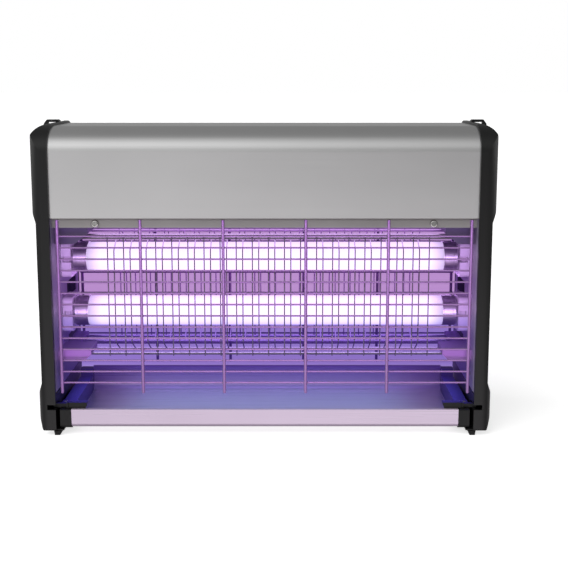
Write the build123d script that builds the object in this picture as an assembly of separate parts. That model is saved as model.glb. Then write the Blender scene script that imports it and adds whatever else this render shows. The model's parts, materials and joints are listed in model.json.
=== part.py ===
from build123d import *
import os

# Electric bug zapper, in millimetres. X runs along the lamps, Y from front to back, Z up.
# The origin is on the standing surface, under the middle of the appliance.

# Overall
half_length = 190.0
half_depth = 45.0
total_height = 262.0

# End caps
cap_inner_x = 174.4
cap_bottom_z = 3.6
cap_top_z = 260.0
cap_wall = 2.5
cap_bottom_x = 186.2
cap_bottom_curve_z = 14.0
cap_shoulder_radius = 2.5
waist_radius = 6.0
cap_foot_radius = 2.0
cap_top_radius = 22.0
cap_outer_radius = 14.0
cap_edge_radius = 10.0
waist_x = 185.8
waist_low_z = 44.5
waist_high_z = 180.2
upper_block_z = 189.7
lower_block_x = 189.2
lower_block_radius = 8.0
lower_block_z = 35.7
web_thickness = 2.2
web_top_z = 35.0
rail_x = 168.5
rail_top_z = 4.7
rail_half_depth = 43.0
pillar_radius = 4.2
screw_well_radius = 3.6
notch_x = 181.4
notch_z = (22.1, 26.5)
notch_depth = 12.0

# Hanging eyes
eye_x = (177.2, 185.0)
eye_bar_x = (175.0, 188.0)
eye_bar_underside_z = 259.9
eye_bar_root_z = (256.5, 252.0)
eye_bar_shoulder_z = (261.0, 258.6)
eye_bar_slope_x = (176.2, 185.5)
eye_bar_half_width = 3.0
eye_pocket_half_length = 10.5
eye_pocket_z = 252.0
eye_pocket_wall = 1.6

# Top cover
cover_half_depth = 43.0
cover_bottom_z = 184.0
cover_top_z = 258.0
cover_radius = 20.0
cover_thickness = 1.2
cover_half_length = 176.0
cover_gap = 0.15
hem_width = 5.0

# Electrical compartment floor
sheet = 1.0
floor_z = 183.0
floor_half_depth = 41.5
flange_y = 37.7
flange_bottom_z = 176.5
floor_tab_half_width = 28.0
floor_tab_top_z = 197.0
floor_top = floor_z + sheet
below_floor = floor_z - 3
above_floor = floor_top + 6

# Side plates
plate_x = cap_inner_x
plate_bottom_z = 36.0
plate_half_depth = 41.0
plate_shoulder_z = 183.5
plate_upper_half_depth = 37.4
plate_top_z = 252.0
plate_top_radius = 14.0
plate_windows = [
    ((3.0, 35.0), (58.0, 72.0)),
    ((3.0, 35.0), (105.0, 119.5)),
    ((15.0, 35.0), (152.0, 157.0)),
]
lamp_lead_hole = 2.2
lead_entry_hole = 3.0

# Guards
guard_y = 39.1
guard_bar_radius = 1.25
guard_wire_radius = 0.75
guard_bar_pitch = 67.92
guard_bar_z = (34.4, 182.0)
guard_wire_top_z = 168.1
guard_wire_pitch = 9.6
guard_wire_count = 14
guard_bar_count = 6
guard_weld = 0.4
guard_screw_x = 138.5
guard_screw_z = 178.8
guard_screw_head = 3.3
strip_half_length = 174.2
strip_y = (37.75, 38.65)
strip_z = (175.4, 181.8)
strip_gap = 0.05

# High-voltage grids
grid_plane_y = 25.5
grid_wire_radius = 0.5
grid_rod_radius = 1.1
grid_rod_z = (64.0, 164.0)
grid_pitch = 13.48
live_rod_y = 24.0
live_wires = 21
live_centre_x = 2.95
return_rod_y = 10.0
return_wires = 20
return_centre_x = 1.55
return_bend_z = (74.0, 154.0)
return_bend_radius = 4.0
live_wire_overhang = 1.5

# Insulating blocks
insulator_front_y = -30.0
insulator_step_y = -7.0
insulator_rear_y = 30.0
insulator_inner_x = (147.0, 150.0)
upper_insulator_z = (160.0, 175.0)
lower_insulator_z = (60.0, 69.0)
upper_insulator_cut = (11.0, 9.0)
lower_insulator_cut = (5.0, 5.0)
arm_x = 163.0
arm_half_height = 2.7
rod_end_x = 168.0

# Lamps and lampholders
lamp_z = {"upper": 143.1, "lower": 95.2}
glass_radius = 12.7
glass_half_length = 160.0
lamp_cap_radius = 13.0
lamp_cap_x = (153.2, 165.75)
pin_radius = 1.2
pin_offset = 6.35
pin_end_x = 172.2
holder_x = 166.3
holder_half_width = 13.0
holder_z = (-16.0, 14.0)
holder_corner = 4.0
holder_lip_x = 169.0
rotor_x = (166.5, 173.0)
rotor_hub_radius = 8.2
rotor_radius = 9.6
rotor_gap = 0.4
slot_half_height = 2.6
glass_thickness = 0.8
lamp_cap_corner = 1.5

# Insect tray
pan_half_length = 162.0
pan_y = (-43.4, 42.2)
pan_bottom_z = 5.8
pan_front_z = 22.0
pan_rear_z = 27.4
pan_thickness = 1.2
pan_radii = (4.5, 9.0)
pan_lip = 2.0
bead_radius = 2.0
tray_end_y = (-43.8, 42.6)
tray_end_bottom_z = 5.0
tray_end_x = (171.2, 173.0)
tray_end_top_z = 22.0
tray_end_riser = (35.0, 29.0)
tray_end_wall = 1.8
tray_end_hollow = (-32.0, 32.0)
tray_lug_x = 159.5

# Catches
catch_y = (-41.0, -36.0)
catch_tab_x = (149.0, 164.5)
catch_z = (22.3, 27.0)
tongue_y = (-40.0, -37.0)
tongue_z = (22.6, 25.8)
tongue_tip_x = 177.4
guide_x = (164.9, 166.4)
spring_x = (163.0, 170.0)
spring_y = -33.2
spring_z = 24.4
spring_radius = 1.3
spring_wire = 0.25
spring_turns = 5
lug_half_width = 1.8
lug_thickness = 1.2
post_top_z = 26.4
catch_gap = 0.35
catch_slope = 1.4

# Feet
foot_bottom_x = (171.6, 176.0)
foot_top_x = (170.7, 176.6)
foot_y = (-44.2, -34.2)

# Cord gland
gland_x = 140.0
gland_z = 205.0
gland_bore_radius = 3.6
gland_neck_radius = 6.0
gland_collar_radius = 8.5
gland_inner_y = 30.0
nut_radius = 9.5
nut_thickness = 4.5

# Fasteners
screw_hole = 1.6
screw_radius = 1.45
cap_screw_places = [(y, z) for y in (-28, 28) for z in (48, 226)]
cap_screw_seat_x = 181.0

# Electrical parts on the compartment floor
transformer_centre = (-31.5, 210.5)
core_size = (57.0, 24.0, 48.0)
window_size = (9.5, 28.5)
ballast_x = (-158.0, -78.0)
ballast_y = (6.0, 38.0)
ballast_top_z = 212.0
ballast_ears = (6.0, 9.0)
ballast_screw_reach = 4.5
bobbin_length = 42.0
bobbin_flange = 2.0
bracket_half_width = 10.0
bracket_foot = 10.5
starter_y = 14.0
starter_z = 197.0
starter_x = (22.0, 56.0)
starter_radius = 10.7
starter_base_radius = 7.0
starter_holder_x = 10.0
starter_holder_half_width = 11.0
starter_holder_top_z = 208.5
terminal_x = (96.0, 126.0)
terminal_half_width = 9.0
terminal_top_z = 200.0
terminal_pole_x = (101.0, 111.0, 121.0)
terminal_screw_y = (-4.5, 4.5)
terminal_wire_z = 190.0
terminal_screw_z = (194.05, 198.0)
terminal_screw_radius = 1.8
earth_place = (150.0, 0.0)
hv_lead_x = 166.0
hv_lead_y = (-3.2, 3.2)
hv_lead_z = 200.0
hv_lead_radius = 1.2
bushing_radius = 2.6
bushing_z = (179.0, 188.0)
lamp_lead_top_z = 218.0
lamp_lead_x = 180.0
lamp_lead_start_x = 165.0
lamp_lead_y = (9.0, -9.0)
lamp_lead_radius = 1.6
holder_screw_z = -13.2
side_screw_tip_x = 168.0
insulator_screw_y = -17.0
insulator_screw_z = {"upper": 170.0, "lower": 65.0}
floor_screw_y = (-20.0, 20.0)
floor_screw_z = 190.5


def block(x, y, z):
    """A box between two values along each axis."""
    size = (x[1] - x[0], y[1] - y[0], z[1] - z[0])
    middle = ((x[0] + x[1]) / 2, (y[0] + y[1]) / 2, (z[0] + z[1]) / 2)
    return Pos(*middle) * Box(*size)


def rod_x(radius, x, y, z):
    """A round bar along X."""
    return Pos((x[0] + x[1]) / 2, y, z) * Rot(0, 90, 0) * Cylinder(radius, abs(x[1] - x[0]))


def rod_y(radius, x, y, z):
    """A round bar along Y."""
    return Pos(x, (y[0] + y[1]) / 2, z) * Rot(90, 0, 0) * Cylinder(radius, abs(y[1] - y[0]))


def rod_z(radius, x, y, z):
    """A round bar along Z."""
    return Pos(x, y, (z[0] + z[1]) / 2) * Cylinder(radius, abs(z[1] - z[0]))


def flip_x(shape):
    """The same shape on the other side of the YZ plane."""
    return mirror(shape, about=Plane.YZ)


def flip_y(shape):
    """The same shape on the other side of the XZ plane."""
    return mirror(shape, about=Plane.XZ)


def outline(points, radii):
    """A closed outline in the local XY plane, with its corners rounded where a radius is given."""
    face = make_face(Polyline(*points, close=True))
    for point, radius in zip(points, radii):
        if radius:
            corner = face.vertices().sort_by_distance(Vector(*point))[0]
            face = fillet(corner, radius)
    return face


def along_x(face, x):
    """Extrudes an outline drawn as (Y, Z) between two values of X."""
    return extrude(Plane((x[0], 0, 0), x_dir=(0, 1, 0), z_dir=(1, 0, 0)) * face, x[1] - x[0])


def along_y(face, y):
    """Extrudes an outline drawn as (X, Z) between two values of Y."""
    return extrude(Plane((0, y[1], 0), x_dir=(1, 0, 0), z_dir=(0, -1, 0)) * face, y[1] - y[0])


def lead(points, bends, radius):
    """A wire with round section along straight runs joined by arcs."""
    path = FilletPolyline(*points, radius=bends)
    section = Plane(path @ 0, z_dir=path % 0) * Circle(radius)
    return sweep(section, path=path)


def screw(radius, length, head_radius, head_height):
    """A pan-head screw pointing down -Z from the plane under its head, with a cross recess."""
    head = Pos(0, 0, head_height / 2) * Cylinder(head_radius, head_height)
    head = fillet(head.edges().sort_by(Axis.Z)[-1], head_height * 0.6)
    slot = Box(head_radius * 1.1, head_radius * 0.28, head_height * 0.9)
    recess = Pos(0, 0, head_height) * (slot + Rot(0, 0, 90) * slot)
    shank = Pos(0, 0, -length / 2) * Cylinder(radius, length)
    return head + shank - recess


def write(name, *shapes):
    """Writes one node, which may hold several solids."""
    solids = [solid for shape in shapes for solid in shape.solids()]
    export_step(Compound(solids), f"parts/{name}.step")


def cap_form(inset, inner_x):
    """The right end cap's outer form, shrunk by inset on every side but the inner one."""
    bottom = cap_bottom_z + inset
    top = cap_top_z - inset
    points = [
        (inner_x, bottom),
        (cap_bottom_x - inset, bottom),
        (lower_block_x - inset, cap_bottom_curve_z + inset),
        (lower_block_x - inset, lower_block_z),
        (waist_x - inset, waist_low_z),
        (waist_x - inset, waist_high_z),
        (half_length - inset, upper_block_z),
        (half_length - inset, top),
        (inner_x, top),
    ]
    radii = [
        0,
        cap_foot_radius,
        lower_block_radius,
        cap_shoulder_radius,
        waist_radius,
        waist_radius,
        cap_shoulder_radius,
        cap_outer_radius - inset,
        0,
    ]
    side = along_y(outline(points, radii), (-half_depth, half_depth))
    wide = half_depth - inset
    section = outline(
        [(-wide, bottom), (wide, bottom), (wide, top), (-wide, top)],
        [cap_foot_radius, cap_foot_radius, cap_top_radius - inset, cap_top_radius - inset],
    )
    depth = along_x(section, (inner_x, half_length))
    plan = outline(
        [(inner_x, -wide), (half_length - inset, -wide), (half_length - inset, wide), (inner_x, wide)],
        [0, cap_edge_radius - inset, cap_edge_radius - inset, 0],
    )
    return side & depth & extrude(plan, total_height)


def eye_bar():
    """The bar that a hanging hook passes under, standing a little proud of the cap."""
    points = [
        (eye_bar_x[0], eye_bar_root_z[0]),
        (eye_bar_x[0], eye_bar_shoulder_z[0]),
        (eye_bar_slope_x[0], total_height),
        (eye_bar_slope_x[1], total_height),
        (eye_bar_x[1], eye_bar_shoulder_z[1]),
        (eye_bar_x[1], eye_bar_root_z[1]),
        (eye_x[1], eye_bar_root_z[1]),
        (eye_x[1], eye_bar_underside_z),
        (eye_x[0], eye_bar_underside_z),
        (eye_x[0], eye_bar_root_z[0]),
    ]
    return along_y(outline(points, [0] * len(points)), (-eye_bar_half_width, eye_bar_half_width))


def end_cap():
    """The right end cap: a hollow moulding with a hanging eye, screw pillars and a tray rail."""
    form = cap_form(0, cap_inner_x)
    cavity = cap_form(cap_wall, cap_inner_x - 1)
    web = block(
        (cap_inner_x, cap_inner_x + web_thickness), (-half_depth, half_depth), (cap_bottom_z, web_top_z)
    )
    cap = form - (cavity - web)
    pocket_y = (-eye_pocket_half_length, eye_pocket_half_length)
    pocket_walls = block(
        (eye_x[0] - eye_pocket_wall, eye_x[1] + eye_pocket_wall),
        (pocket_y[0] - eye_pocket_wall, pocket_y[1] + eye_pocket_wall),
        (eye_pocket_z - eye_pocket_wall, cap_top_z - 1),
    )
    cap += pocket_walls & form
    for y, z in cap_screw_places:
        cap += rod_x(pillar_radius, (plate_x + sheet, half_length), y, z) & form
    rail_y = (-rail_half_depth, rail_half_depth)
    cap += block((rail_x, cap_inner_x + 1), rail_y, (cap_bottom_z, rail_top_z))
    cap -= block(eye_x, pocket_y, (eye_pocket_z, total_height))
    cap += eye_bar()
    for y, z in cap_screw_places:
        cap -= rod_x(screw_hole, (cap_inner_x, half_length), y, z)
        cap -= rod_x(screw_well_radius, (cap_screw_seat_x, half_length + 1), y, z)
    cap -= block((cap_inner_x - 0.1, notch_x), (-half_depth - 1, -half_depth + notch_depth), notch_z)
    ring = cover_section(cover_gap) - cover_section(-cover_thickness - cover_gap)
    return cap - along_x(ring, (cap_inner_x - 1, cover_half_length + 2 * cover_gap))


def cover_section(grow):
    """The top cover's outer section, grown by a clearance."""
    wide = cover_half_depth + grow
    low = cover_bottom_z - grow
    top = cover_top_z + grow
    radius = cover_radius + grow
    return outline([(-wide, low), (wide, low), (wide, top), (-wide, top)], [0, 0, radius, radius])


def top_cover():
    """The aluminium cover: an inverted channel with hems turned in along its lower edges."""
    skin = cover_section(0) - cover_section(-cover_thickness)
    skin -= Pos(0, cover_bottom_z) * Rectangle(2 * (cover_half_depth - cover_thickness), 4)
    cover = along_x(skin, (-cover_half_length, cover_half_length))
    for side in (-1, 1):
        edge = sorted((side * cover_half_depth, side * (cover_half_depth - hem_width)))
        cover += block(
            (-cover_half_length, cover_half_length), edge, (cover_bottom_z, cover_bottom_z + cover_thickness)
        )
    return cover - rod_y(gland_neck_radius + 0.1, gland_x, (flange_y, half_depth), gland_z)


def compartment_floor():
    """The folded steel floor under the electrical parts, with the flanges that carry the guards."""
    floor = block((-plate_x, plate_x), (-floor_half_depth, floor_half_depth), (floor_z, floor_top))
    for side in (-1, 1):
        flange = sorted((side * flange_y, side * (flange_y - sheet)))
        floor += block((-plate_x, plate_x), flange, (flange_bottom_z, floor_top))
        end = sorted((side * plate_x, side * (plate_x - sheet)))
        tab_y = (-floor_tab_half_width, floor_tab_half_width)
        floor += block(end, tab_y, (floor_z, floor_tab_top_z))
        for x in (-guard_screw_x, guard_screw_x):
            through = sorted((side * (flange_y - 5), side * (flange_y + 5)))
            floor -= rod_y(screw_hole, x, through, guard_screw_z)
    for x, y in ballast_screw_places() + transformer_screw_places() + [earth_place]:
        floor -= rod_z(screw_hole, x, y, (below_floor, above_floor))
    for y in hv_lead_y:
        floor -= rod_z(bushing_radius + 0.05, -hv_lead_x, y, (below_floor, above_floor))
    for y in floor_screw_y:
        floor -= rod_x(screw_hole, (-half_length, half_length), y, floor_screw_z)
    return floor


def side_plate():
    """The right steel side plate: it carries the lampholders and the insulating blocks."""
    span = (plate_x, plate_x + sheet)
    lower = block(span, (-plate_half_depth, plate_half_depth), (plate_bottom_z, plate_shoulder_z))
    wide = plate_upper_half_depth
    upper = outline(
        [(-wide, floor_z), (wide, floor_z), (wide, plate_top_z), (-wide, plate_top_z)],
        [0, 0, plate_top_radius, plate_top_radius],
    )
    plate = lower + along_x(upper, span)
    through = (plate_x - 1, plate_x + sheet + 1)
    for window_y, window_z in plate_windows:
        plate -= block(through, window_y, window_z)
    for axis_z, y in zip(lamp_z.values(), lamp_lead_y):
        plate -= rod_x(lamp_lead_hole, through, y, axis_z)
        plate -= rod_x(lead_entry_hole, through, y, lamp_lead_top_z)
    for axis_z in lamp_z.values():
        plate -= rod_x(screw_hole, through, 0, axis_z + holder_screw_z)
    for y, z in cap_screw_places + insulator_screw_places():
        plate -= rod_x(screw_hole, through, y, z)
    for y in floor_screw_y:
        plate -= rod_x(screw_hole, through, y, floor_screw_z)
    return plate


def guard():
    """The front guard: six upright bars welded over rows of thin wire, notched behind for their strip."""
    wire_y = -guard_y + guard_bar_radius + guard_wire_radius - guard_weld
    reach = (guard_bar_count - 1) / 2 * guard_bar_pitch
    pieces = []
    for i in range(guard_bar_count):
        x = i * guard_bar_pitch - reach
        low, high = guard_bar_z
        pieces.append(rod_z(guard_bar_radius, x, -guard_y, (low + guard_bar_radius, high)))
        pieces.append(Pos(x, -guard_y, low + guard_bar_radius) * Sphere(guard_bar_radius))
    for i in range(guard_wire_count):
        z = guard_wire_top_z - i * guard_wire_pitch
        pieces.append(rod_x(guard_wire_radius, (-reach - 1, reach + 1), wire_y, z))
    return pieces[0].fuse(*pieces[1:]) - strip_form(strip_gap)


def strip_form(grow):
    """The front guard strip's plain form, grown by a clearance."""
    x = (-strip_half_length - grow, strip_half_length + grow)
    y = (-strip_y[1] - grow, -strip_y[0] + grow)
    return block(x, y, (strip_z[0] - grow, strip_z[1] + grow))


def guard_strip():
    """The flat steel strip that joins the tops of the front guard's bars, with its two screw holes."""
    strip = strip_form(0)
    for x in (-guard_screw_x, guard_screw_x):
        strip -= rod_y(screw_hole, x, (-half_depth, 0), guard_screw_z)
    return strip


def live_grid():
    """The front live grid: straight upright wires welded to two rods."""
    pieces = [rod_x(grid_rod_radius, (-rod_end_x, rod_end_x), -live_rod_y, z) for z in grid_rod_z]
    wire_z = (grid_rod_z[0] - live_wire_overhang, grid_rod_z[1] + live_wire_overhang)
    for i in range(live_wires):
        x = live_centre_x + (i - (live_wires - 1) / 2) * grid_pitch
        pieces.append(rod_z(grid_wire_radius, x, -grid_plane_y, wire_z))
    return pieces[0].fuse(*pieces[1:])


def return_grid():
    """The front return grid: its wires stand between the live ones and bend back to two rods."""
    pieces = [rod_x(grid_rod_radius, (-rod_end_x, rod_end_x), -return_rod_y, z) for z in grid_rod_z]
    low, high = grid_rod_z
    for i in range(return_wires):
        x = return_centre_x + (i - (return_wires - 1) / 2) * grid_pitch
        points = [
            (x, -return_rod_y, low),
            (x, -grid_plane_y, return_bend_z[0]),
            (x, -grid_plane_y, return_bend_z[1]),
            (x, -return_rod_y, high),
        ]
        pieces.append(lead(points, return_bend_radius, grid_wire_radius))
    return pieces[0].fuse(*pieces[1:])


def insulator(inner_x, z, rods_z, screw_z, cut):
    """A right-hand insulating moulding: a block for the front grids and an arm for the rear ones."""
    points = [
        (inner_x, z[1]),
        (plate_x, z[1]),
        (plate_x, z[0]),
        (inner_x + cut[0], z[0]),
        (inner_x, z[0] + cut[1]),
    ]
    body = along_y(outline(points, [0] * len(points)), (insulator_front_y, insulator_step_y))
    arm_z = (rods_z - arm_half_height, rods_z + arm_half_height)
    body += block((arm_x, plate_x), (insulator_step_y - 1, insulator_rear_y), arm_z)
    for y in (-live_rod_y, -return_rod_y, return_rod_y, live_rod_y):
        body -= rod_x(grid_rod_radius + 0.05, (inner_x - 1, rod_end_x + 0.5), y, rods_z)
    return body - rod_x(screw_radius + 0.05, (side_screw_tip_x, plate_x + 1), insulator_screw_y, screw_z)


def lampholder(axis_z):
    """A right-hand lampholder: a front plate, a round chamber for the rotor and an entry slot."""
    low, high = holder_z
    body = block((holder_x, plate_x), (-holder_half_width, holder_half_width), (low, high))
    body = fillet(body.edges().filter_by(Axis.X), holder_corner)
    chamber_end = rotor_x[1] + 0.2
    body -= rod_x(rotor_hub_radius + rotor_gap, (holder_x - 1, holder_lip_x), 0, 0)
    body -= rod_x(rotor_radius + rotor_gap, (holder_lip_x - rotor_gap, chamber_end), 0, 0)
    slot_z = (-slot_half_height, slot_half_height)
    body -= block((holder_x - 1, chamber_end), (-holder_half_width - 1, 0), slot_z)
    body -= rod_x(screw_radius + 0.05, (side_screw_tip_x, plate_x + 1), 0, holder_screw_z)
    return Pos(0, 0, axis_z) * body


def rotor(axis_z):
    """A right-hand rotor, slotted for the lamp's two pins."""
    hub = rod_x(rotor_hub_radius, (rotor_x[0], holder_lip_x), 0, 0)
    body = hub + rod_x(rotor_radius, (holder_lip_x - 0.1, rotor_x[1]), 0, 0)
    slot_y = (-pin_radius - 0.1, pin_radius + 0.1)
    body -= block((rotor_x[0] - 1, pin_end_x + 0.1), slot_y, (-rotor_radius, rotor_radius))
    return Pos(0, 0, axis_z) * body


def lamp_tube(axis_z):
    """The glass tube of one lamp."""
    ends = (-glass_half_length, glass_half_length)
    return rod_x(glass_radius, ends, 0, axis_z) - rod_x(glass_radius - glass_thickness, ends, 0, axis_z)


def lamp_cap(axis_z):
    """A right-hand metal end cap, crimped over the end of the glass."""
    cap = rod_x(lamp_cap_radius, lamp_cap_x, 0, axis_z)
    cap = fillet(cap.edges().sort_by(Axis.X)[-1], lamp_cap_corner)
    return cap - rod_x(glass_radius + 0.05, (lamp_cap_x[0] - 1, glass_half_length), 0, axis_z)


def lamp_pins(axis_z):
    """The two right-hand contact pins of one lamp, one above the other."""
    x = (lamp_cap_x[1], pin_end_x)
    return [rod_x(pin_radius, x, 0, axis_z + side * pin_offset) for side in (-1, 1)]


def tray_pan():
    """The bright insect pan: a shallow trough with a rolled bead along its rear edge."""
    front, rear = pan_y
    t = pan_thickness
    outer = outline(
        [(front, pan_bottom_z), (rear, pan_bottom_z), (rear, pan_rear_z), (front, pan_rear_z)],
        [*pan_radii, 0, 0],
    )
    inner = outline(
        [(front + t, pan_bottom_z + t), (rear - t, pan_bottom_z + t), (rear - t, 40), (front + t, 40)],
        [pan_radii[0] - t, pan_radii[1] - t, 0, 0],
    )
    section = outer - inner - Pos(front, pan_front_z + 10) * Rectangle(20, 20)
    section += Pos(front + t + pan_lip / 2 - 0.1, pan_front_z - t / 2) * Rectangle(pan_lip, t)
    section += Pos(rear - bead_radius, pan_rear_z + t) * Circle(bead_radius)
    return along_x(section, (-pan_half_length, pan_half_length))


def tray_end():
    """The right-hand tray end: it rides on the cap's rail and guides the catch."""
    front, rear = tray_end_y
    riser_y, riser_z = tray_end_riser
    top = tray_end_top_z
    section = outline(
        [
            (front, tray_end_bottom_z),
            (rear, tray_end_bottom_z),
            (rear, riser_z),
            (riser_y, riser_z),
            (riser_y, top),
            (front, top),
        ],
        [*pan_radii, 1.5, 0, 0, 1],
    )
    form = along_x(section, (pan_half_length, tray_end_x[1]))
    corner_x = tray_end_x[1] + 1
    taper = outline([(tray_end_x[0], front - 1), (corner_x, front - 1), (corner_x, 0)], [0, 0, 0])
    form -= extrude(taper, riser_z + 1)
    hollow_x = (pan_half_length + tray_end_wall, tray_end_x[0] - tray_end_wall)
    form -= block(hollow_x, tray_end_hollow, (0, top - tray_end_wall))
    lug_y = (tray_end_hollow[0] - 4, tray_end_hollow[1])
    form += block((tray_lug_x, pan_half_length + 0.5), lug_y, (tray_end_bottom_z, pan_bottom_z))
    gap = catch_gap
    guide = block(guide_x, (tongue_y[0] - 1.0, tongue_y[1] + 1.4), (top - 1, catch_z[1]))
    passage_y = (tongue_y[0] - gap, tongue_y[1] + gap)
    guide -= block((guide_x[0] - 1, guide_x[1] + 1), passage_y, (tongue_z[0] - gap, tongue_z[1] + gap))
    post_x = (spring_x[0] - 0.9, spring_x[0])
    post_y = (spring_y - lug_half_width, spring_y + lug_half_width)
    post = block(post_x, post_y, (top - 1, post_top_z))
    return form + guide + post


def catch():
    """The right-hand catch: a finger tab, a tongue that enters the cap's notch and a spring lug."""
    left, right = catch_tab_x
    low, high = catch_z
    side = outline([(left + catch_slope, low), (right, low), (right, high), (left, high)], [0] * 4)
    tab = along_y(side, catch_y)
    tab = fillet(tab.edges().filter_by(Axis.Z).sort_by(Axis.X)[:1], 0.8)
    tongue = block((right - 1, tongue_tip_x), tongue_y, tongue_z)
    lug_y = (tongue_y[0], spring_y + lug_half_width)
    return tab + tongue + block((spring_x[1], spring_x[1] + lug_thickness), lug_y, tongue_z)


def catch_spring():
    """The right-hand catch's compression spring, along X."""
    end_gap = 0.05
    length = spring_x[1] - spring_x[0] - 2 * (spring_wire + end_gap)
    path = Helix(pitch=length / spring_turns, height=length, radius=spring_radius)
    section = Plane(path @ 0, z_dir=path % 0) * Circle(spring_wire)
    coil = sweep(section, path=path, is_frenet=True)
    return Pos(spring_x[0] + spring_wire + end_gap, spring_y, spring_z) * Rot(0, 90, 0) * coil


def foot():
    """The right front foot."""
    points = [
        (foot_bottom_x[0], 0),
        (foot_bottom_x[1], 0),
        (foot_top_x[1], cap_bottom_z),
        (foot_top_x[0], cap_bottom_z),
    ]
    return along_y(outline(points, [0] * len(points)), foot_y)


def cord_gland():
    """The gland in the cover's rear wall that a mains cord comes out of."""
    gland = rod_y(gland_neck_radius, gland_x, (gland_inner_y, cover_half_depth + 0.5), gland_z)
    collar = rod_y(gland_collar_radius, gland_x, (cover_half_depth, half_depth), gland_z)
    collar = fillet(collar.edges().sort_by(Axis.Y)[-1], 1.0)
    return gland + collar - rod_y(gland_bore_radius, gland_x, (gland_inner_y - 1, half_depth + 1), gland_z)


def gland_nut():
    """The nut that holds the gland from inside."""
    face = RegularPolygon(nut_radius, 6) - Circle(gland_neck_radius + 0.05)
    seat_y = cover_half_depth - cover_thickness - 0.1
    return Pos(gland_x, seat_y, gland_z) * Rot(90, 0, 0) * extrude(face, nut_thickness)


def insulator_screw_places():
    """(Y, Z) of the screws that hold the insulating mouldings."""
    return [(insulator_screw_y, z) for z in insulator_screw_z.values()]


def ballast_screw_places():
    """(X, Y) of the ballasts' screws, the front ballast's first."""
    middle = sum(ballast_y) / 2
    ends = (ballast_x[0] - ballast_screw_reach, ballast_x[1] + ballast_screw_reach)
    return [(x, side * middle) for side in (-1, 1) for x in ends]


def transformer_screw_places():
    """(X, Y) of the screws through the bracket's feet."""
    reach = core_size[0] / 2 + bracket_foot / 2 + 0.75
    return [(transformer_centre[0] + side * reach, 0.0) for side in (-1, 1)]


def transformer_core():
    """The laminated core, with two windows for the coil."""
    x, z = transformer_centre
    core = Pos(x, 0, z) * Box(*core_size)
    for side in (-1, 1):
        window = Box(window_size[0], core_size[1] + 2, window_size[1])
        core -= Pos(x + side * core_size[0] / 4, 0, z) * window
    return core


def transformer_coil():
    """The high-voltage winding on its bobbin, around the core's middle leg."""
    x, z = transformer_centre
    outer = core_size[0] / 2 + window_size[0] - 0.6
    leg = core_size[0] / 2 - window_size[0]
    height = window_size[1] - 0.6
    coil = Box(outer - 2, bobbin_length - 2, height - 5)
    for side in (-1, 1):
        coil += Pos(0, 0, side * (height - bobbin_flange) / 2) * Box(outer, bobbin_length, bobbin_flange)
    coil += Box(leg + 3, core_size[1] + 3, height)
    hole = Box(leg + 0.4, core_size[1] + 0.4, height + 2)
    return Pos(x, 0, z) * (coil - hole)


def transformer_bracket():
    """The steel strap over the core, with a foot at each end."""
    x, z = transformer_centre
    top = z + core_size[2] / 2
    half = core_size[0] / 2
    width = (-bracket_half_width, bracket_half_width)
    strap = block((x - half - sheet, x + half + sheet), width, (top, top + sheet))
    for side in (-1, 1):
        wall = sorted((x + side * half, x + side * (half + sheet)))
        strap += block(wall, width, (floor_top, top + sheet))
        foot_span = sorted((x + side * half, x + side * (half + bracket_foot)))
        strap += block(foot_span, width, (floor_top, floor_top + sheet))
    for place in transformer_screw_places():
        strap -= rod_z(screw_hole, *place, (below_floor, above_floor))
    return strap


def ballast():
    """The rear lamp ballast: a potted steel can on a plate with two ears."""
    low, high = ballast_y
    can = block(ballast_x, ballast_y, (floor_top, ballast_top_z))
    can = fillet(can.edges().filter_by(Axis.X).sort_by(Axis.Z)[-2:], 3)
    ears_x = (ballast_x[0] - ballast_ears[0], ballast_x[1] + ballast_ears[1])
    can += block(ears_x, (low + 8, high - 8), (floor_top, floor_top + sheet))
    for x, y in ballast_screw_places()[2:]:
        can -= rod_z(screw_hole, x, y, (below_floor, above_floor))
    return can


def starter():
    """The rear glow starter, lying along X."""
    can = rod_x(starter_radius, starter_x, starter_y, starter_z)
    can = fillet(can.edges().sort_by(Axis.X)[-1], 2)
    return can + rod_x(starter_base_radius, (starter_x[0] - 2, starter_x[0]), starter_y, starter_z)


def starter_holder():
    """The rear starter's holder, standing on the floor."""
    width = (starter_y - starter_holder_half_width, starter_y + starter_holder_half_width)
    body = block((starter_holder_x, starter_x[0]), width, (floor_top, starter_holder_top_z))
    socket_x = (starter_x[0] - 2.2, starter_x[0] + 1)
    return body - rod_x(starter_base_radius + 0.2, socket_x, starter_y, starter_z)


def terminal_block():
    """The three-way mains terminal block."""
    body = block(terminal_x, (-terminal_half_width, terminal_half_width), (floor_top, terminal_top_z))
    body = fillet(body.edges().filter_by(Axis.X).sort_by(Axis.Z)[-2:], 2)
    for x in terminal_pole_x:
        body -= rod_y(2.0, x, (-terminal_half_width - 1, terminal_half_width + 1), terminal_wire_z)
        for y in terminal_screw_y:
            hole_z = (terminal_screw_z[0] - 0.05, terminal_top_z + 1)
            body -= rod_z(terminal_screw_radius + 0.1, x, y, hole_z)
    return body


def terminal_screws():
    """The slotted clamping screws of the terminal block."""
    low, high = terminal_screw_z
    found = []
    for x in terminal_pole_x:
        for y in terminal_screw_y:
            slot = block((x - 2, x + 2), (y - 0.3, y + 0.3), (high - 0.8, high + 1))
            found.append(rod_z(terminal_screw_radius, x, y, (low, high)) - slot)
    return found


def hv_lead(y):
    """A high-voltage lead, from the transformer down to the left upper insulating moulding."""
    start_x = transformer_centre[0] - core_size[0] / 2 - sheet
    end_z = grid_rod_z[1] + arm_half_height
    points = [(start_x, y, hv_lead_z), (-hv_lead_x, y, hv_lead_z), (-hv_lead_x, y, end_z)]
    return lead(points, 8, hv_lead_radius)


def hv_bushing(y):
    """The insulating bush where a high-voltage lead passes the floor."""
    low, high = bushing_z
    bush = rod_z(bushing_radius, -hv_lead_x, y, bushing_z)
    return bush - rod_z(hv_lead_radius + 0.1, -hv_lead_x, y, (low - 1, high + 1))


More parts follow.
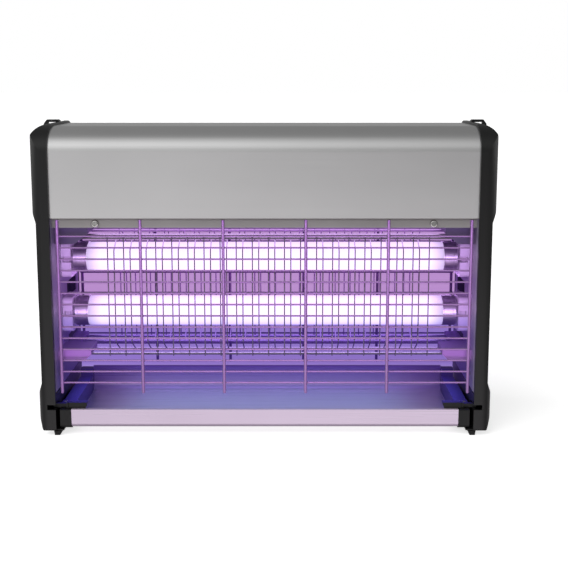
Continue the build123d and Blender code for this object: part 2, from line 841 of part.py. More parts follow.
def lamp_lead(y, axis_z):
    """A right-hand lamp lead, down inside the end cap to the back of a lampholder."""
    points = [
        (lamp_lead_start_x, y, lamp_lead_top_z),
        (lamp_lead_x, y, lamp_lead_top_z),
        (lamp_lead_x, y, axis_z),
        (plate_x, y, axis_z),
    ]
    return lead(points, 2.6, lamp_lead_radius)


def facing(direction, place, fastener):
    """Turns a fastener that points down -Z so that it points along a direction, and puts it in place."""
    turns = {"-X": (0, 90, 0), "+X": (0, -90, 0), "-Z": (0, 0, 0), "+Y": (90, 0, 0), "-Y": (-90, 0, 0)}
    return Pos(*place) * Rot(*turns[direction]) * fastener


def side_screws(places, seat_x, fastener):
    """The same screws on both sides, pointing inward from a seat plane."""
    right = [facing("-X", (seat_x, y, z), fastener) for y, z in places]
    return right + [flip_x(s) for s in right]


os.makedirs("parts", exist_ok=True)

right_cap = end_cap()
write("right_cap", right_cap)
write("left_cap", flip_x(right_cap))
write("top_cover", top_cover())
write("compartment_floor", compartment_floor())
right_plate = side_plate()
write("right_side_plate", right_plate)
write("left_side_plate", flip_x(right_plate))

front_guard = guard()
write("front_guard", front_guard)
write("rear_guard", flip_y(front_guard))
front_strip = guard_strip()
write("front_guard_strip", front_strip)
write("rear_guard_strip", flip_y(front_strip))
front_live = live_grid()
write("front_live_grid", front_live)
write("rear_live_grid", flip_y(front_live))
front_return = return_grid()
write("front_return_grid", front_return)
write("rear_return_grid", flip_y(front_return))

left_x, right_x = insulator_inner_x
upper_args = (upper_insulator_z, grid_rod_z[1], insulator_screw_z["upper"], upper_insulator_cut)
lower_args = (lower_insulator_z, grid_rod_z[0], insulator_screw_z["lower"], lower_insulator_cut)
write("upper_right_insulator", insulator(right_x, *upper_args))
write("upper_left_insulator", flip_x(insulator(left_x, *upper_args)))
write("lower_right_insulator", insulator(right_x, *lower_args))
write("lower_left_insulator", flip_x(insulator(left_x, *lower_args)))

for level, axis_z in lamp_z.items():
    holder = lampholder(axis_z)
    write(f"{level}_right_lampholder", holder)
    write(f"{level}_left_lampholder", flip_x(holder))
    write(f"{level}_lamp_tube", lamp_tube(axis_z))
    metal_cap = lamp_cap(axis_z)
    write(f"{level}_lamp_caps", metal_cap, flip_x(metal_cap))
    pins = lamp_pins(axis_z)
    write(f"{level}_lamp_pins", *pins, *[flip_x(pin) for pin in pins])
    turning = rotor(axis_z)
    write(f"{level}_lamp_rotors", turning, flip_x(turning))

write("tray_pan", tray_pan())
right_end = tray_end()
write("tray_right_end", right_end)
write("tray_left_end", flip_x(right_end))
right_catch = catch()
write("right_catch", right_catch)
write("left_catch", flip_x(right_catch))
right_spring = catch_spring()
write("right_catch_spring", right_spring)
write("left_catch_spring", flip_x(right_spring))

right_foot = foot()
feet = [right_foot, flip_x(right_foot), flip_y(right_foot), flip_y(flip_x(right_foot))]
write("feet", *feet)
write("cord_gland", cord_gland())
write("cord_gland_nut", gland_nut())

write("transformer_core", transformer_core())
write("transformer_coil", transformer_coil())
write("transformer_bracket", transformer_bracket())
rear_ballast = ballast()
write("rear_ballast", rear_ballast)
write("front_ballast", flip_y(rear_ballast))
write("starters", starter(), flip_y(starter()))
write("starter_holders", starter_holder(), flip_y(starter_holder()))
write("terminal_block", terminal_block())
write("terminal_screws", *terminal_screws())
write("hv_leads", *[hv_lead(y) for y in hv_lead_y])
write("hv_bushings", *[hv_bushing(y) for y in hv_lead_y])
right_leads = [lamp_lead(y, axis_z) for y, axis_z in zip(lamp_lead_y, lamp_z.values())]
write("right_lamp_leads", *right_leads)
write("left_lamp_leads", *[flip_x(wire) for wire in right_leads])

guard_screw = screw(screw_radius, 7, guard_screw_head, 2.2)
guard_screw_places = [(side * guard_screw_x, -strip_y[1], guard_screw_z) for side in (-1, 1)]
front_screws = [facing("+Y", place, guard_screw) for place in guard_screw_places]
write("guard_screws", *front_screws, *[flip_y(s) for s in front_screws])
write("cap_screws", *side_screws(cap_screw_places, cap_screw_seat_x, screw(screw_radius, 8, 3.1, 2.0)))
side_screw = screw(screw_radius, 5, 2.7, 1.6)
holder_places = [(0, axis_z + holder_screw_z) for axis_z in lamp_z.values()]
write("lampholder_screws", *side_screws(holder_places, plate_x + sheet, side_screw))
write("insulator_screws", *side_screws(insulator_screw_places(), plate_x + sheet, side_screw))
floor_places = [(y, floor_screw_z) for y in floor_screw_y]
write("floor_screws", *side_screws(floor_places, plate_x + sheet, side_screw))
down = [facing("-Z", (x, y, floor_top + sheet), side_screw) for x, y in ballast_screw_places()]
write("ballast_screws", *down)
down = [facing("-Z", (x, y, floor_top + sheet), side_screw) for x, y in transformer_screw_places()]
write("transformer_screws", *down)
write("earth_screw", facing("-Z", (*earth_place, floor_top), side_screw))
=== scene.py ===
import json
import math

import bmesh
import bpy
from mathutils import Matrix, Vector


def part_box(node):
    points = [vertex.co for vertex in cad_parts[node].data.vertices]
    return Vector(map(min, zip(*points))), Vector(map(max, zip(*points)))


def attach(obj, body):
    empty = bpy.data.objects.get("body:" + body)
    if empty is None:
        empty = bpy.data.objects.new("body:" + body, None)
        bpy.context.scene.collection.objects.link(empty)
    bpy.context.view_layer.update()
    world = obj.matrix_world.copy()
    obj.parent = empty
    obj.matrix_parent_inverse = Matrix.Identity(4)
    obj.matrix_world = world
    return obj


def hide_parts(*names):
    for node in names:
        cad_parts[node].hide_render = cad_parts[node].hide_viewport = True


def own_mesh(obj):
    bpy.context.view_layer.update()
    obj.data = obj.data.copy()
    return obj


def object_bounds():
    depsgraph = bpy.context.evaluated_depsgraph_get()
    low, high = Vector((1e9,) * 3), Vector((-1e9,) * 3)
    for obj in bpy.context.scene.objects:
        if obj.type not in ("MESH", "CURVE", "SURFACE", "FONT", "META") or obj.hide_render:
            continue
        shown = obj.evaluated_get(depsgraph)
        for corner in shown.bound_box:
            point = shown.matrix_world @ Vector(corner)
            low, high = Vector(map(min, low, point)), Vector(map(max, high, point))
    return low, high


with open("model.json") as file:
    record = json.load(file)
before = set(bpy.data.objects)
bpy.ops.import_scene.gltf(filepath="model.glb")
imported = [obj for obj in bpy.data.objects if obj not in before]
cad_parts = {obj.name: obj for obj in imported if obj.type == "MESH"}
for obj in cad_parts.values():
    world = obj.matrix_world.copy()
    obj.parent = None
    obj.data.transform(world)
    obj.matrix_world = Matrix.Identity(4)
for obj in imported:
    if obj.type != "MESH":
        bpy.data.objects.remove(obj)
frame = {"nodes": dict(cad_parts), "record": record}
cad_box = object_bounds()
nodes = frame["nodes"]
scene = bpy.context.scene
scene.view_settings.view_transform = "Standard"


# ---------------------------------------------------------------- driving values
# Lengths are in metres and powers in watts.
# Guards: where the wires cross the upright bars
guard_bars = 6
guard_bar_radius = 0.00125
guard_top_wire = 0.1681
guard_wire_pitch = 0.0096
guard_wires = 14

# Live grids: where the wires cross the outer rods
live_wires = 21
live_wire_centre = 0.00295
live_wire_overhang = 0.0015
grid_pitch = 0.01348
grid_wire_radius = 0.0005

# Weld nuggets: half sizes, and how far behind a bar's axis they sit, as a share of the bar's radius
guard_nugget = (0.0019, 0.0005, 0.0011)
grid_nugget = (0.0009, 0.0005, 0.0008)
nugget_depth = 0.8

# Rolled beads of the lamps' metal caps: their section's radius, the share of it sunk in the cap,
# and their distances from the cap's inner end
cap_inner_end = 0.1532
bead = 0.0003
bead_sunk = 0.4
bead_insets = (0.0009, 0.0085)
ring_sides = 8
ring_steps = 48

# Finishes: the middle part of a noise value, which is stretched over a finish's whole range
noise_range = (0.3, 0.7)

# Lamps: the glow fades between these distances from the end of the glass
lamp_colour = (0.86, 0.83, 1.0)
lamp_strength = 1.9
lamp_end_share = 0.35
lamp_fade = (0.018, 0.004)

# Surroundings: the brightness of each part in reflections, where a pair is left and right, that of the
# general light (studio_fill), and the bands of direction over which one part fades into the next
front_horizon = (0.51, 0.21)
front_raised = (1.18, 0.54)
studio_top = (0.28, 0.22)
studio_back = 0.48
studio_low = 1.25
studio_low_colour = (1.0, 0.96, 0.99)
studio_fill = 0.16
low_band = (-0.32, -0.18)
left_to_right = (-0.36, 0.32)
rising_band = (0.02, 0.42)
overhead_spread = (-0.6, 0.6)
front_band = (-0.92, -0.25)
behind_band = (0.12, 0.30)
back_band = (0.0, 0.12)

# Floor and broad light from the left
floor_glow = 0.72
floor_half_width = 14.0
floor_drop = 0.0002
key_strength = 1.4
key_direction = (-1.2, -0.7, 1.9)
key_spread = math.radians(50)

# Painted glow: a box of violet light and tint in the space between the guards, standing in for the lamps'
# light and glare; its density, colour and strength, below and above the lower lamp's axis
painted_glow_colour = (0.45, 0.25, 1.0)
painted_glow_below = (34.0, (0.42, 0.26, 0.68), 1.35)
painted_glow_above = (21.0, (0.43, 0.07, 0.55), 0.6)
painted_glow_gap = 0.0004

# Lights that reach chosen pieces only
group_light_y = 0.55
group_light_z = 0.12
group_light_aim = (0, 0, 0.1)
group_light_size = (0.5, 0.25)
violet_power = 5.4
violet_colour = (0.70, 0.28, 1.0)
inner_power = 0.8
inner_colour = (0.42, 0.24, 1.0)
holder_power = 7.0
holder_colour = (0.80, 0.70, 1.0)
pan_power = 0.75
pan_colour = (0.78, 0.40, 1.0)
side_light_place = (1.6, -0.1, 0.75)
side_light_aim = (0.19, 0, 0.13)
side_light_size = (1.0, 1.0)
side_power = 12.0
rod_light_y = 0.017
rod_light_z = (0.080, 0.174)
rod_light_size = (0.31, 0.022)
rod_power = 0.1
rod_colour = (0.86, 0.76, 1.0)
tray_light_y = -0.003
tray_light_drop = 0.001
tray_light_size = (0.25, 0.07)
tray_power = 0.039
tray_colour = (0.30, 0.66, 1.0)
tray_end_light_size = (0.34, 0.07)
tray_end_power = 1.5
tray_end_colour = (0.13, 0.09, 1.0)

# Camera: its distance is measured from the front of the appliance
camera_x = 0.0177
camera_distance = 0.659
camera_z = 0.2979
camera_tilt_degrees = 7.18
camera_lens = 52.3
camera_shift = (-0.0035, -0.1815)


# ---------------------------------------------------------------- shader helpers
def material(name):
    """A new node material and its Principled shader."""
    made = bpy.data.materials.new(name)
    made.use_nodes = True
    shader = made.node_tree.nodes["Principled BSDF"]
    return made, made.node_tree, shader


def add(tree, kind, **values):
    """A node of that kind, with its properties set."""
    node = tree.nodes.new(kind)
    for key, value in values.items():
        setattr(node, key, value)
    return node


def place(tree, stretch=(1, 1, 1)):
    """Object coordinates, scaled along each axis."""
    coordinates = add(tree, "ShaderNodeTexCoord")
    mapping = add(tree, "ShaderNodeMapping")
    mapping.inputs["Scale"].default_value = stretch
    tree.links.new(coordinates.outputs["Object"], mapping.inputs["Vector"])
    return mapping.outputs["Vector"]


def noise(tree, vector, scale, detail=3.0, roughness=0.55):
    """A noise texture's value."""
    node = add(tree, "ShaderNodeTexNoise")
    node.inputs["Scale"].default_value = scale
    node.inputs["Detail"].default_value = detail
    node.inputs["Roughness"].default_value = roughness
    tree.links.new(vector, node.inputs["Vector"])
    return node.outputs["Fac"]


def spread(tree, value, low, high, source=noise_range):
    """A value mapped from a source range to another range."""
    node = add(tree, "ShaderNodeMapRange")
    node.inputs["From Min"].default_value = source[0]
    node.inputs["From Max"].default_value = source[1]
    node.inputs["To Min"].default_value = low
    node.inputs["To Max"].default_value = high
    tree.links.new(value, node.inputs["Value"])
    return node.outputs["Result"]


def blend_colours(tree, value, low, high):
    """A colour between two colours."""
    node = add(tree, "ShaderNodeValToRGB")
    node.color_ramp.elements[0].position = noise_range[0]
    node.color_ramp.elements[0].color = (*low, 1)
    node.color_ramp.elements[1].position = noise_range[1]
    node.color_ramp.elements[1].color = (*high, 1)
    tree.links.new(value, node.inputs["Fac"])
    return node.outputs["Color"]


def relief(tree, shader, height, depth):
    """Bumps the shader's normal by a height in metres."""
    node = add(tree, "ShaderNodeBump")
    node.inputs["Strength"].default_value = 1.0
    node.inputs["Distance"].default_value = depth
    tree.links.new(height, node.inputs["Height"])
    tree.links.new(node.outputs["Normal"], shader.inputs["Normal"])


def finish_of(name, colours, metallic, rough, grain, depth, stretch=(1, 1, 1), cloud=18.0, **sockets):
    """A surface with cloudy colour, uneven gloss and a fine grain, at given scales per metre."""
    made, tree, shader = material(name)
    shader.inputs["Metallic"].default_value = metallic
    for socket, value in sockets.items():
        shader.inputs[socket.replace("_", " ")].default_value = value
    plain = place(tree)
    fine = noise(tree, place(tree, stretch), grain, 4.0)
    broad = noise(tree, plain, cloud, 3.0)
    tree.links.new(blend_colours(tree, broad, *colours), shader.inputs["Base Color"])
    tree.links.new(spread(tree, fine, *rough), shader.inputs["Roughness"])
    relief(tree, shader, fine, depth)
    return made


def shade(grey, tint=(1, 1, 1), contrast=0.08):
    """Two close colours, for cloudiness round a grey level."""
    low = tuple(grey * (1 - contrast) * t for t in tint)
    high = tuple(grey * (1 + contrast) * t for t in tint)
    return low, high


def brushed(name, grey, rough, tint=(1, 1, 1), metallic=1.0, depth=0.000004):
    """Metal brushed along X: long fine lines in its gloss and relief."""
    return finish_of(name, shade(grey, tint, 0.03), metallic, rough, 1.0, depth, (6, 1800, 1800), 9.0)


def glowing_glass():
    """The lamps' phosphor-coated glass, dimmer and more violet towards its ends."""
    made, tree, shader = material("lamp_glass")
    shader.inputs["Roughness"].default_value = 0.12
    shader.inputs["Coat Weight"].default_value = 0.5
    powder = noise(tree, place(tree), 420.0)
    coating = blend_colours(tree, powder, (0.84, 0.80, 0.90), (0.90, 0.87, 0.94))
    tree.links.new(coating, shader.inputs["Base Color"])
    relief(tree, shader, powder, 0.00001)
    parts = add(tree, "ShaderNodeSeparateXYZ")
    tree.links.new(place(tree), parts.inputs["Vector"])
    reach = add(tree, "ShaderNodeMath", operation="ABSOLUTE")
    tree.links.new(parts.outputs["X"], reach.inputs[0])
    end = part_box("upper_lamp_tube")[1].x
    fade = (end - lamp_fade[0], end - lamp_fade[1])
    glow = spread(tree, reach.outputs["Value"], lamp_strength, lamp_strength * lamp_end_share, fade)
    shader.inputs["Emission Color"].default_value = (*lamp_colour, 1)
    tree.links.new(glow, shader.inputs["Emission Strength"])
    return made


def laminations(name):
    """Stacked steel sheets: fine dark lines across Y."""
    made, tree, shader = material(name)
    shader.inputs["Metallic"].default_value = 0.9
    wave = add(tree, "ShaderNodeTexWave", bands_direction="Y")
    wave.inputs["Scale"].default_value = 320.0
    wave.inputs["Distortion"].default_value = 0.4
    tree.links.new(place(tree), wave.inputs["Vector"])
    stripes = blend_colours(tree, wave.outputs["Fac"], (0.08, 0.08, 0.09), (0.3, 0.3, 0.32))
    tree.links.new(stripes, shader.inputs["Base Color"])
    tree.links.new(spread(tree, wave.outputs["Fac"], 0.55, 0.35), shader.inputs["Roughness"])
    relief(tree, shader, wave.outputs["Fac"], 0.0002)
    return made


# ---------------------------------------------------------------- materials
# Each finish_of gives colours, metallic, the range of roughness, the grain's scale and its depth.
materials = {
    "cap_plastic": finish_of(
        "cap_plastic", shade(0.009, (1, 1, 1.04)), 0.0, (0.28, 0.38), 1500.0, 0.00004, Specular_IOR_Level=0.42
    ),
    "cover_aluminium": brushed("cover_aluminium", 0.74, (0.30, 0.36)),
    # floor_steel: the faint pink in its colour is painted violet lamp light
    "floor_steel": finish_of(
        "floor_steel", shade(0.62, (1, 0.95, 0.96)), 0.35, (0.36, 0.48), 700.0, 0.00002
    ),
    "plate_steel": finish_of(
        "plate_steel", shade(0.55, (1, 0.99, 1)), 0.25, (0.36, 0.5), 600.0, 0.00002
    ),
    # guard_wire: the faint violet in its colour is painted lamp light
    "guard_wire": finish_of(
        "guard_wire", shade(0.22, (1, 0.94, 1)), 0.1, (0.28, 0.42), 900.0, 0.00003, cloud=60.0
    ),
    "grid_wire": finish_of(
        "grid_wire", shade(0.36, (1, 0.97, 1)), 0.8, (0.25, 0.4), 1200.0, 0.00002, cloud=60.0
    ),
    # insulator_plastic: the faint violet in its colour is painted lamp light
    "insulator_plastic": finish_of(
        "insulator_plastic", shade(0.34, (1, 0.93, 1)), 0.0, (0.4, 0.5), 1400.0, 0.00003
    ),
    "holder_plastic": finish_of(
        "holder_plastic", shade(0.74, (1, 0.99, 0.97), 0.04), 0.0, (0.3, 0.42), 1300.0, 0.00003
    ),
    "rotor_plastic": finish_of(
        "rotor_plastic", shade(0.62, (1, 0.98, 0.94), 0.04), 0.0, (0.3, 0.42), 1300.0, 0.00003
    ),
    "lamp_glass": glowing_glass(),
    "lamp_metal": brushed("lamp_metal", 0.6, (0.28, 0.4)),
    "pin_brass": brushed("pin_brass", 0.7, (0.2, 0.3), (1.0, 0.76, 0.4)),
    # pan_metal: its pink-violet tint is painted lamp light, not the metal's own colour
    "pan_metal": brushed("pan_metal", 0.82, (0.26, 0.36), (0.98, 0.87, 1.0), 0.55),
    "tray_plastic": finish_of(
        "tray_plastic", shade(0.014, (1, 1, 1.05)), 0.0, (0.38, 0.5), 1500.0, 0.00004, Specular_IOR_Level=0.35
    ),
    "spring_steel": brushed("spring_steel", 0.6, (0.25, 0.35)),
    "foot_rubber": finish_of("foot_rubber", shade(0.02), 0.0, (0.7, 0.85), 1100.0, 0.00006),
    "gland_plastic": finish_of("gland_plastic", shade(0.03), 0.0, (0.4, 0.5), 1400.0, 0.00003),
    "core_steel": laminations("core_steel"),
    "coil_winding": finish_of(
        "coil_winding", shade(0.55, (1, 0.72, 0.2)), 0.0, (0.3, 0.4), 1.0, 0.0002, (10, 10, 900)
    ),
    "bracket_steel": finish_of("bracket_steel", shade(0.55), 1.0, (0.3, 0.45), 300.0, 0.00001),
    "ballast_paint": finish_of(
        "ballast_paint", shade(0.62, (0.96, 0.98, 1)), 0.1, (0.35, 0.5), 500.0, 0.00003
    ),
    "starter_can": brushed("starter_can", 0.8, (0.22, 0.32)),
    "terminal_plastic": finish_of("terminal_plastic", shade(0.7), 0.0, (0.45, 0.55), 900.0, 0.00003),
    "screw_steel": finish_of(
        "screw_steel", shade(0.58, (1, 0.98, 0.96)), 1.0, (0.10, 0.18), 900.0, 0.00001
    ),
    "lead_red": finish_of(
        "lead_red", ((0.36, 0.02, 0.015), (0.42, 0.03, 0.02)), 0.0, (0.4, 0.5), 900.0, 0.00002
    ),
    "lead_white": finish_of("lead_white", shade(0.7, (1, 1, 0.97)), 0.0, (0.4, 0.5), 900.0, 0.00002),
    "bushing_ceramic": finish_of(
        "bushing_ceramic", shade(0.8, (1, 0.99, 0.95)), 0.0, (0.15, 0.25), 700.0, 0.00001
    ),
}

slot_of = {row["node"]: row["material_slot"] for row in frame["record"]["subparts"]}
for name, part in nodes.items():
    part.data.materials.clear()
    part.data.materials.append(materials[slot_of[name]])


# ---------------------------------------------------------------- extra pieces
def piece(name, mesh, body, slot_name):
    """A new piece of the object, on a body, with its slot's material."""
    made = bpy.data.objects.new(name, mesh)
    scene.collection.objects.link(made)
    mesh.materials.append(materials[slot_name])
    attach(made, body)
    return made


def nuggets(name, places, size, slot_name):
    """Small flattened drops of weld metal at a list of places, given their half sizes."""
    work = bmesh.new()
    for place_at in places:
        shape = Matrix.Translation(place_at) @ Matrix.Diagonal((*size, 1))
        bmesh.ops.create_icosphere(work, subdivisions=2, radius=1.0, matrix=shape)
    mesh = bpy.data.meshes.new(name)
    work.to_mesh(mesh)
    work.free()
    mesh.shade_smooth()
    piece(name, mesh, "body", slot_name)


def guard_welds(guard_name, side):
    """The nuggets where a guard's wires are welded behind its upright bars."""
    low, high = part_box(guard_name)
    reach = high.x - guard_bar_radius
    bars = [reach * (2 * i / (guard_bars - 1) - 1) for i in range(guard_bars)]
    rows = [guard_top_wire - j * guard_wire_pitch for j in range(guard_wires)]
    y = side * (max(-low.y, high.y) - guard_bar_radius)
    places = [(x, y - side * guard_bar_radius * nugget_depth, z) for x in bars for z in rows]
    nuggets(guard_name + "_welds", places, guard_nugget, "guard_wire")


def grid_welds(face, side):
    """The nuggets where the live wires are welded to the outer rods."""
    low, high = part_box(face + "_live_grid")
    y = side * (max(-low.y, high.y) - 2 * grid_wire_radius)
    first = live_wire_centre - (live_wires - 1) / 2 * grid_pitch
    xs = [first + i * grid_pitch for i in range(live_wires)]
    zs = (low.z + live_wire_overhang, high.z - live_wire_overhang)
    places = [(x, y, z) for x in xs for z in zs]
    nuggets(face + "_grid_welds", places, grid_nugget, "grid_wire")


def add_ring(work, radius, centre_x, axis_z):
    """Adds one bead round a lamp's axis to the mesh in work."""
    section = []
    for i in range(ring_sides):
        turn = 2 * math.pi * i / ring_sides
        across, along = bead * math.cos(turn), bead * math.sin(turn)
        section.append((radius - bead_sunk * bead + across, centre_x + along))
    grid = []
    for j in range(ring_steps):
        angle = 2 * math.pi * j / ring_steps
        spoke = (math.cos(angle), math.sin(angle))
        grid.append([work.verts.new((x, r * spoke[0], axis_z + r * spoke[1])) for r, x in section])
    for j in range(ring_steps):
        for i in range(ring_sides):
            k, m = (j + 1) % ring_steps, (i + 1) % ring_sides
            work.faces.new((grid[j][i], grid[k][i], grid[k][m], grid[j][m]))


def crimp_rings(level):
    """The rolled beads that hold a lamp's metal caps on its glass."""
    low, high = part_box(level + "_lamp_caps")
    work = bmesh.new()
    for side in (-1, 1):
        for inset in bead_insets:
            add_ring(work, (high.z - low.z) / 2, side * (cap_inner_end + inset), (low.z + high.z) / 2)
    bmesh.ops.recalc_face_normals(work, faces=work.faces)
    mesh = bpy.data.meshes.new(level + "_lamp_crimps")
    work.to_mesh(mesh)
    work.free()
    mesh.shade_smooth()
    piece(level + "_lamp_crimps", mesh, level + "_lamp", "lamp_metal")


def working_spring(side):
    """A catch's spring as a piece of its own on the tray, in place of the CAD spring, which it hides."""
    node = side + "_catch_spring"
    mesh = nodes[node].data.copy()
    mesh.materials.clear()
    coil = piece(side + "_spring_coil", mesh, "tray", "spring_steel")
    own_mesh(coil)
    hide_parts(node)


for face, side in (("front", -1), ("rear", 1)):
    guard_welds(face + "_guard", side)
    grid_welds(face, side)
for level in ("upper", "lower"):
    crimp_rings(level)
working_spring("left")
working_spring("right")


# ---------------------------------------------------------------- stage
def studio_world():
    """A pale studio: evenly white, but its reflections show a dark top, a lit front and a grey horizon."""
    world = bpy.data.worlds.new("studio")
    scene.world = world
    world.use_nodes = True
    tree = world.node_tree
    direction = add(tree, "ShaderNodeTexCoord").outputs["Generated"]
    axes = add(tree, "ShaderNodeSeparateXYZ")
    tree.links.new(direction, axes.inputs["Vector"])
    x, y, z = (axes.outputs[k] for k in "XYZ")

    def ease(socket, low, high, start=0.0, end=1.0):
        """A smooth step of a direction's component."""
        node = add(tree, "ShaderNodeMapRange", interpolation_type="SMOOTHSTEP")
        node.inputs["From Min"].default_value = low
        node.inputs["From Max"].default_value = high
        node.inputs["To Min"].default_value = start
        node.inputs["To Max"].default_value = end
        tree.links.new(socket, node.inputs["Value"])
        return node.outputs["Result"]

    def mix(factor, first, second):
        """A value between two values or sockets."""
        node = add(tree, "ShaderNodeMix", data_type="FLOAT")
        tree.links.new(factor, node.inputs["Factor"])
        for value, socket in ((first, node.inputs["A"]), (second, node.inputs["B"])):
            if isinstance(value, float):
                socket.default_value = value
            else:
                tree.links.new(value, socket)
        return node.outputs["Result"]

    horizon = mix(ease(z, *low_band), studio_low, ease(x, *left_to_right, *front_horizon))
    raised = ease(x, *left_to_right, *front_raised)
    front = mix(ease(z, *rising_band), horizon, raised)
    overhead = ease(x, *overhead_spread, *studio_top)
    front = mix(ease(y, *front_band), front, overhead)
    behind = mix(ease(z, *behind_band), studio_back, overhead)
    shaped = mix(ease(y, *back_band), front, behind)
    ray = add(tree, "ShaderNodeLightPath")
    lit = mix(ray.outputs["Is Glossy Ray"], studio_fill, shaped)
    seen = mix(ray.outputs["Is Camera Ray"], lit, 1.0)
    tint = add(tree, "ShaderNodeMix", data_type="RGBA")
    tint.inputs["A"].default_value = (*studio_low_colour, 1)
    tint.inputs["B"].default_value = (1, 1, 1, 1)
    tree.links.new(mix(ray.outputs["Is Glossy Ray"], 1.0, ease(z, *low_band)), tint.inputs["Factor"])
    background = tree.nodes["Background"]
    tree.links.new(tint.outputs["Result"], background.inputs["Color"])
    tree.links.new(seen, background.inputs["Strength"])


def floor():
    """The plain pale floor."""
    made, tree, shader = material("floor_paint")
    speck = noise(tree, place(tree), 60.0)
    paint = blend_colours(tree, speck, (0.90, 0.90, 0.90), (0.92, 0.92, 0.92))
    tree.links.new(paint, shader.inputs["Base Color"])
    shader.inputs["Roughness"].default_value = 0.7
    shader.inputs["Specular IOR Level"].default_value = 0.2
    shader.inputs["Emission Color"].default_value = (1, 1, 1, 1)
    shader.inputs["Emission Strength"].default_value = floor_glow
    half = floor_half_width
    corners = [(-half, -half, 0), (half, -half, 0), (half, half, 0), (-half, half, 0)]
    mesh = bpy.data.meshes.new("floor")
    mesh.from_pydata(corners, [], [(0, 1, 2, 3)])
    mesh.materials.append(made)
    ground = bpy.data.objects.new("floor", mesh)
    ground.location.z = -floor_drop
    ground.visible_glossy = False
    ground.visible_diffuse = False
    scene.collection.objects.link(ground)


def painted_glow_box(name, z, density, colour, glow_strength):
    """Painted light: a box between the guards that glows violet and tints whatever is seen through the
    appliance, standing in for the lamps' light.
    """
    made = bpy.data.materials.new(name)
    made.use_nodes = True
    tree = made.node_tree
    tree.nodes.clear()
    out = add(tree, "ShaderNodeOutputMaterial")
    absorb = add(tree, "ShaderNodeVolumeAbsorption")
    absorb.inputs["Color"].default_value = (*colour, 1)
    absorb.inputs["Density"].default_value = density
    glow = add(tree, "ShaderNodeEmission")
    glow.inputs["Color"].default_value = (*painted_glow_colour, 1)
    glow.inputs["Strength"].default_value = glow_strength
    both = add(tree, "ShaderNodeAddShader")
    tree.links.new(absorb.outputs["Volume"], both.inputs[0])
    tree.links.new(glow.outputs["Emission"], both.inputs[1])
    tree.links.new(both.outputs["Shader"], out.inputs["Volume"])
    half_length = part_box("right_side_plate")[0].x - painted_glow_gap
    half_depth = -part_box("front_guard")[1].y - painted_glow_gap
    low = Vector((-half_length, -half_depth, z[0] + painted_glow_gap))
    high = Vector((half_length, half_depth, z[1] - painted_glow_gap))
    work = bmesh.new()
    shape = Matrix.Translation((low + high) / 2) @ Matrix.Diagonal((*(high - low), 1))
    bmesh.ops.create_cube(work, size=1.0, matrix=shape)
    mesh = bpy.data.meshes.new(name)
    work.to_mesh(mesh)
    work.free()
    mesh.materials.append(made)
    glow_object = bpy.data.objects.new(name, mesh)
    scene.collection.objects.link(glow_object)


def softbox(name, location, target, size, power, colour, reached, glossy=True):
    """An area light aimed at a point, hidden from the camera, which lights one collection of pieces."""
    data = bpy.data.lights.new(name, "AREA")
    data.shape = "RECTANGLE"
    data.size, data.size_y = size
    data.energy = power
    data.color = colour
    lamp = bpy.data.objects.new(name, data)
    lamp.location = location
    lamp.rotation_euler = (Vector(target) - Vector(location)).to_track_quat("-Z", "Y").to_euler()
    lamp.visible_camera = False
    lamp.visible_glossy = glossy
    lamp.light_linking.receiver_collection = reached
    scene.collection.objects.link(lamp)


def window_light(direction, strength):
    """Broad, even light from one side, which only shows in matt surfaces."""
    data = bpy.data.lights.new("key", "SUN")
    data.angle = key_spread
    data.energy = strength
    lamp = bpy.data.objects.new("key", data)
    lamp.rotation_euler = Vector(direction).to_track_quat("Z", "Y").to_euler()
    lamp.visible_glossy = False
    scene.collection.objects.link(lamp)


def receivers(name, names):
    """A collection of the pieces that a light reaches."""
    group = bpy.data.collections.new(name)
    for part_name in names:
        group.objects.link(nodes.get(part_name) or bpy.data.objects[part_name])
    return group


studio_world()
floor()
lower_axis = sum(corner.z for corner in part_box("lower_lamp_tube")) / 2
guard_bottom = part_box("front_guard")[0].z
# Painted violet glow and tint between the guards, below and above the lower lamp's axis
painted_glow_box("painted_glow_low", (guard_bottom, lower_axis), *painted_glow_below)
painted_glow_box("painted_glow_high", (lower_axis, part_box("compartment_floor")[0].z), *painted_glow_above)
window_light(key_direction, key_strength)


# ---------------------------------------------------------------- lights on chosen pieces
def insulators(level):
    """The insulating mouldings at one level."""
    return [name for name in nodes if name.startswith(level) and "insulator" in name]


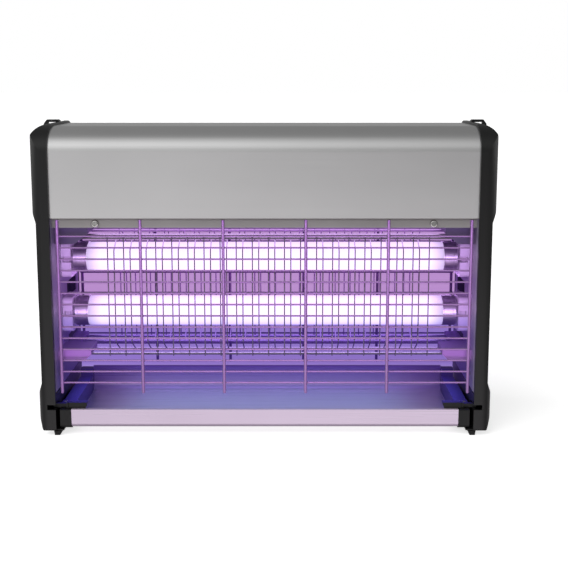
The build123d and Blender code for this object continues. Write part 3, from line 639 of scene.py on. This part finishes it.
def group_lights():
    """Soft lights from the front and the back, each for one group of pieces."""
    wires = ["front_guard", "front_guard_welds", "rear_guard", "rear_guard_welds"]
    wires += ["rear_live_grid", "rear_return_grid", "rear_grid_welds"]
    inner = [name for name in nodes if "side_plate" in name]
    holders = [name for name in nodes if "lampholder" in name and "screw" not in name]
    holders += [name for name in nodes if "rotor" in name or "pins" in name]
    holders += ["upper_lamp_caps", "lower_lamp_caps", "upper_lamp_crimps", "lower_lamp_crimps"]
    groups = [
        ("violet", receivers("violet_lit", wires + insulators("lower_")), violet_power, violet_colour),
        ("inner", receivers("inner_lit", inner + insulators("upper_")), inner_power, inner_colour),
        ("holders", receivers("holders_lit", holders), holder_power, holder_colour),
        ("pan", receivers("pan_lit", ["tray_pan"]), pan_power, pan_colour),
    ]
    for side, face in ((-1, "front"), (1, "rear")):
        spot = (0, side * group_light_y, group_light_z)
        for group_name, reached, power, colour in groups:
            light_name = f"{group_name}_{face}"
            shiny = group_name != "pan"
            softbox(light_name, spot, group_light_aim, group_light_size, power, colour, reached, shiny)


def side_lights():
    """A white light at each side, for the end caps."""
    caps = receivers("caps_lit", ["left_cap", "right_cap"])
    for side in (-1, 1):
        spot = (side * side_light_place[0], *side_light_place[1:])
        aim = (side * side_light_aim[0], *side_light_aim[1:])
        softbox(f"side_{side}", spot, aim, side_light_size, side_power, (1, 1, 1), caps)


def rod_lights():
    """Small lights above the grids' rods, shining down."""
    rods = receivers("rods_lit", [name for name in nodes if "_grid" in name])
    for level, z in zip(("lower", "upper"), rod_light_z):
        for side in (-1, 1):
            y = side * rod_light_y
            softbox(f"rods_{level}_{side}", (0, y, z), (0, y, 0), rod_light_size, rod_power, rod_colour, rods)


def tray_lights():
    """Lights under the guards, shining down on the tray and on its ends."""
    spot = (0, tray_light_y, guard_bottom - tray_light_drop)
    aim = (0, tray_light_y, 0)
    pan = receivers("tray_lit", ["tray_pan"])
    softbox("violet_tray", spot, aim, tray_light_size, tray_power, tray_colour, pan, False)
    ends = [name for name in nodes if name.startswith("tray_") and name.endswith("_end") or "catch" in name]
    reached = receivers("ends_lit", ends)
    softbox("violet_ends", spot, aim, tray_end_light_size, tray_end_power, tray_end_colour, reached, False)


group_lights()
side_lights()
rod_lights()
tray_lights()


# ---------------------------------------------------------------- camera
def camera():
    """The photograph's viewpoint: just above the top, looking slightly down, a little right of centre."""
    data = bpy.data.cameras.new("camera")
    data.lens = camera_lens
    data.sensor_width = 36.0
    data.shift_x, data.shift_y = camera_shift
    made = bpy.data.objects.new("camera", data)
    made.location = (camera_x, cad_box[0].y - camera_distance, camera_z)
    made.rotation_euler = (math.radians(90 - camera_tilt_degrees), 0, 0)
    scene.collection.objects.link(made)
    scene.camera = made


camera()
